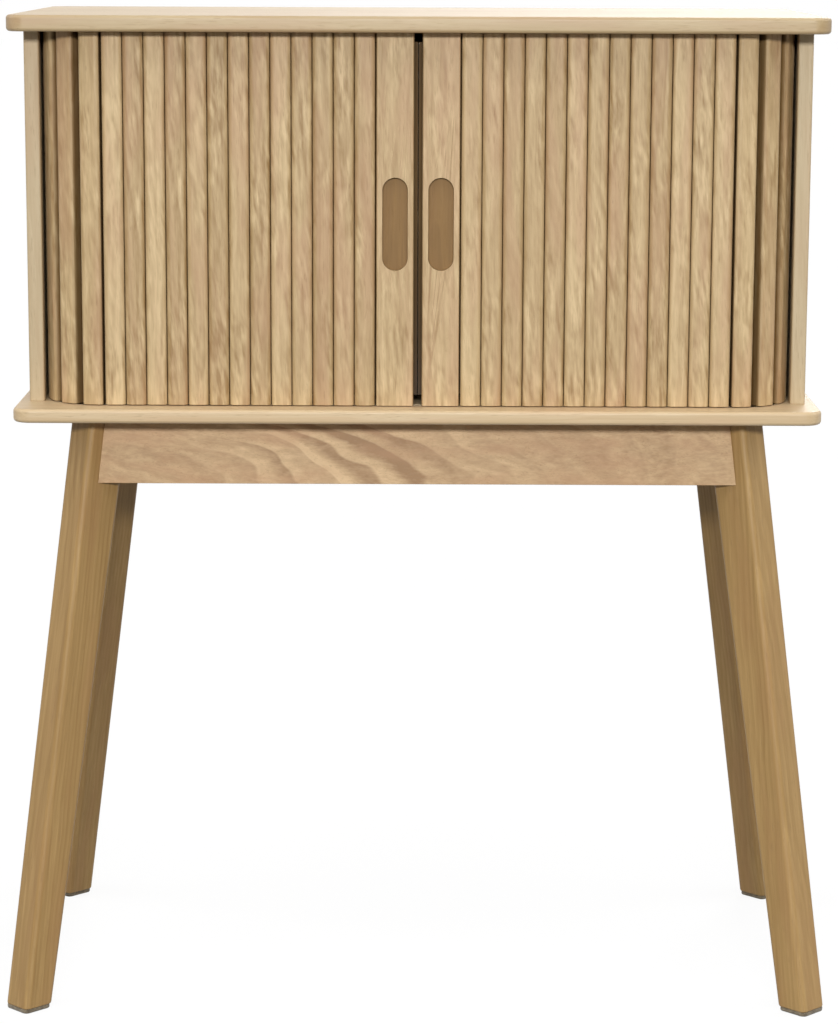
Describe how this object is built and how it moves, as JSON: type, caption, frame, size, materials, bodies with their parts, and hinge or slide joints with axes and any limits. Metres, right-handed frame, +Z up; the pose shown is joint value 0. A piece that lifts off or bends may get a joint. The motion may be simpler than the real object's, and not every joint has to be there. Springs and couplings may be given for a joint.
{
  "type": "tambour cabinet",
  "caption": "Low storage cabinet on splayed tapered legs, with tambour doors that slide sideways round a bend into its sides, and a shelf inside.",
  "frame": {"origin": "on the floor, below the middle of the cabinet", "axes": "+Z up, the doors face -Y, +X to the right of someone who faces the doors"},
  "size_m": [0.8316, 0.4412, 1],
  "materials": {
    "board_oak": "satin oiled oak",
    "door_oak": "satin oiled oak",
    "case_oak": "satin oiled oak",
    "leg_oak": "satin oiled oak",
    "apron_oak": "satin oiled oak",
    "inside_oak": "matt oak",
    "canvas": "matt woven cotton canvas",
    "felt": "matt pressed wool felt"
  },
  "bodies": {
    "cabinet": {"top_board": "board_oak", "base_board": "board_oak", "left_side_panel": "case_oak", "right_side_panel": "case_oak", "back_panel": "inside_oak", "shelf": "inside_oak", "left_inner_side": "inside_oak", "right_inner_side": "inside_oak", "left_shelf_cleat": "inside_oak", "right_shelf_cleat": "inside_oak", "front_apron": "apron_oak", "rear_apron": "apron_oak", "left_side_rail": "apron_oak", "right_side_rail": "apron_oak", "front_left_leg": "leg_oak", "front_left_foot_pad": "felt", "front_right_leg": "leg_oak", "front_right_foot_pad": "felt", "rear_left_leg": "leg_oak", "rear_left_foot_pad": "felt", "rear_right_leg": "leg_oak", "rear_right_foot_pad": "felt"},
    "left_door": {"left_door_stile": "door_oak", "left_slat_01": "door_oak", "left_slat_02": "door_oak", "left_slat_03": "door_oak", "left_slat_04": "door_oak", "left_slat_05": "door_oak", "left_slat_06": "door_oak", "left_slat_07": "door_oak", "left_slat_08": "door_oak", "left_canvas": "canvas"},
    "left_slat_09": {"left_slat_09": "door_oak"},
    "left_slat_10": {"left_slat_10": "door_oak"},
    "left_slat_11": {"left_slat_11": "door_oak"},
    "left_slat_12": {"left_slat_12": "door_oak"},
    "left_slat_13": {"left_slat_13": "door_oak"},
    "left_slat_14": {"left_slat_14": "door_oak"},
    "left_slat_15": {"left_slat_15": "door_oak"},
    "left_slat_16": {"left_slat_16": "door_oak"},
    "left_slat_17": {"left_slat_17": "door_oak"},
    "right_door": {"right_door_stile": "door_oak", "right_slat_01": "door_oak", "right_slat_02": "door_oak", "right_slat_03": "door_oak", "right_slat_04": "door_oak", "right_slat_05": "door_oak", "right_slat_06": "door_oak", "right_slat_07": "door_oak", "right_slat_08": "door_oak", "right_canvas": "canvas"},
    "right_slat_09": {"right_slat_09": "door_oak"},
    "right_slat_10": {"right_slat_10": "door_oak"},
    "right_slat_11": {"right_slat_11": "door_oak"},
    "right_slat_12": {"right_slat_12": "door_oak"},
    "right_slat_13": {"right_slat_13": "door_oak"},
    "right_slat_14": {"right_slat_14": "door_oak"},
    "right_slat_15": {"right_slat_15": "door_oak"},
    "right_slat_16": {"right_slat_16": "door_oak"},
    "right_slat_17": {"right_slat_17": "door_oak"}
  },
  "joints": [
    {"name": "left_door_slide", "type": "slide", "parent": "cabinet", "child": "left_door", "axis": [-1, 0, 0], "range_m": [0, 0.103], "deforming": ["left_canvas"]},
    {"name": "left_slat_09_turn", "type": "hinge", "parent": "cabinet", "child": "left_slat_09", "pos_m": [-0.2658, 0.58844, 0.8], "axis": [0, 0, -1], "range_deg": [0, 7.93]},
    {"name": "left_slat_10_turn", "type": "hinge", "parent": "cabinet", "child": "left_slat_10", "pos_m": [-0.2761, 0.00352, 0.8], "axis": [0, 0, -1], "range_deg": [0, 36.03]},
    {"name": "left_slat_11_turn", "type": "hinge", "parent": "cabinet", "child": "left_slat_11", "pos_m": [-0.2864, -0.06959, 0.8], "axis": [0, 0, -1], "range_deg": [0, 64.14]},
    {"name": "left_slat_12_turn", "type": "hinge", "parent": "cabinet", "child": "left_slat_12", "pos_m": [-0.29589, -0.09579, 0.8], "axis": [0, 0, -1], "range_deg": [0, 90.02]},
    {"name": "left_slat_13_turn", "type": "hinge", "parent": "cabinet", "child": "left_slat_13", "pos_m": [-0.29589, -0.09579, 0.8], "axis": [0, 0, -1], "range_deg": [0, 90.02]},
    {"name": "left_slat_14_turn", "type": "hinge", "parent": "cabinet", "child": "left_slat_14", "pos_m": [-0.2878, -0.09518, 0.8], "axis": [0, 0, -1], "range_deg": [0, 82.11]},
    {"name": "left_slat_15_turn", "type": "hinge", "parent": "cabinet", "child": "left_slat_15", "pos_m": [-0.25014, -0.08651, 0.8], "axis": [0, 0, -1], "range_deg": [0, 54.01]},
    {"name": "left_slat_16_turn", "type": "hinge", "parent": "cabinet", "child": "left_slat_16", "pos_m": [-0.12957, -0.08099, 0.8], "axis": [0, 0, -1], "range_deg": [0, 25.9]},
    {"name": "left_slat_17_run", "type": "slide", "parent": "cabinet", "child": "left_slat_17", "axis": [0, 1, 0], "range_m": [0, 0.1031]},
    {"name": "right_door_slide", "type": "slide", "parent": "cabinet", "child": "right_door", "axis": [1, 0, 0], "range_m": [0, 0.103], "deforming": ["right_canvas"]},
    {"name": "right_slat_09_turn", "type": "hinge", "parent": "cabinet", "child": "right_slat_09", "pos_m": [0.2658, 0.58844, 0.8], "axis": [0, 0, 1], "range_deg": [0, 7.93]},
    {"name": "right_slat_10_turn", "type": "hinge", "parent": "cabinet", "child": "right_slat_10", "pos_m": [0.2761, 0.00352, 0.8], "axis": [0, 0, 1], "range_deg": [0, 36.03]},
    {"name": "right_slat_11_turn", "type": "hinge", "parent": "cabinet", "child": "right_slat_11", "pos_m": [0.2864, -0.06959, 0.8], "axis": [0, 0, 1], "range_deg": [0, 64.14]},
    {"name": "right_slat_12_turn", "type": "hinge", "parent": "cabinet", "child": "right_slat_12", "pos_m": [0.29589, -0.09579, 0.8], "axis": [0, 0, 1], "range_deg": [0, 90.02]},
    {"name": "right_slat_13_turn", "type": "hinge", "parent": "cabinet", "child": "right_slat_13", "pos_m": [0.29589, -0.09579, 0.8], "axis": [0, 0, 1], "range_deg": [0, 90.02]},
    {"name": "right_slat_14_turn", "type": "hinge", "parent": "cabinet", "child": "right_slat_14", "pos_m": [0.2878, -0.09518, 0.8], "axis": [0, 0, 1], "range_deg": [0, 82.11]},
    {"name": "right_slat_15_turn", "type": "hinge", "parent": "cabinet", "child": "right_slat_15", "pos_m": [0.25014, -0.08651, 0.8], "axis": [0, 0, 1], "range_deg": [0, 54.01]},
    {"name": "right_slat_16_turn", "type": "hinge", "parent": "cabinet", "child": "right_slat_16", "pos_m": [0.12957, -0.08099, 0.8], "axis": [0, 0, 1], "range_deg": [0, 25.9]},
    {"name": "right_slat_17_run", "type": "slide", "parent": "cabinet", "child": "right_slat_17", "axis": [0, 1, 0], "range_m": [0, 0.1031]}
  ],
  "couplings": [
    {"joint": "left_slat_09_turn", "follows": "left_door_slide", "rad_per_m": 1.3407},
    {"joint": "left_slat_10_turn", "follows": "left_door_slide", "rad_per_m": 6.1026},
    {"joint": "left_slat_11_turn", "follows": "left_door_slide", "rad_per_m": 10.865},
    {"joint": "left_slat_12_turn", "follows": "left_door_slide", "rad_per_m": 15.25},
    {"joint": "left_slat_13_turn", "follows": "left_door_slide", "rad_per_m": 15.25},
    {"joint": "left_slat_14_turn", "follows": "left_door_slide", "rad_per_m": 13.91},
    {"joint": "left_slat_15_turn", "follows": "left_door_slide", "rad_per_m": 9.1478},
    {"joint": "left_slat_16_turn", "follows": "left_door_slide", "rad_per_m": 4.3859},
    {"joint": "left_slat_17_run", "follows": "left_door_slide", "ratio": 1},
    {"joint": "right_slat_09_turn", "follows": "right_door_slide", "rad_per_m": 1.3407},
    {"joint": "right_slat_10_turn", "follows": "right_door_slide", "rad_per_m": 6.1026},
    {"joint": "right_slat_11_turn", "follows": "right_door_slide", "rad_per_m": 10.865},
    {"joint": "right_slat_12_turn", "follows": "right_door_slide", "rad_per_m": 15.25},
    {"joint": "right_slat_13_turn", "follows": "right_door_slide", "rad_per_m": 15.25},
    {"joint": "right_slat_14_turn", "follows": "right_door_slide", "rad_per_m": 13.91},
    {"joint": "right_slat_15_turn", "follows": "right_door_slide", "rad_per_m": 9.1478},
    {"joint": "right_slat_16_turn", "follows": "right_door_slide", "rad_per_m": 4.3859},
    {"joint": "right_slat_17_run", "follows": "right_door_slide", "ratio": 1}
  ]
}
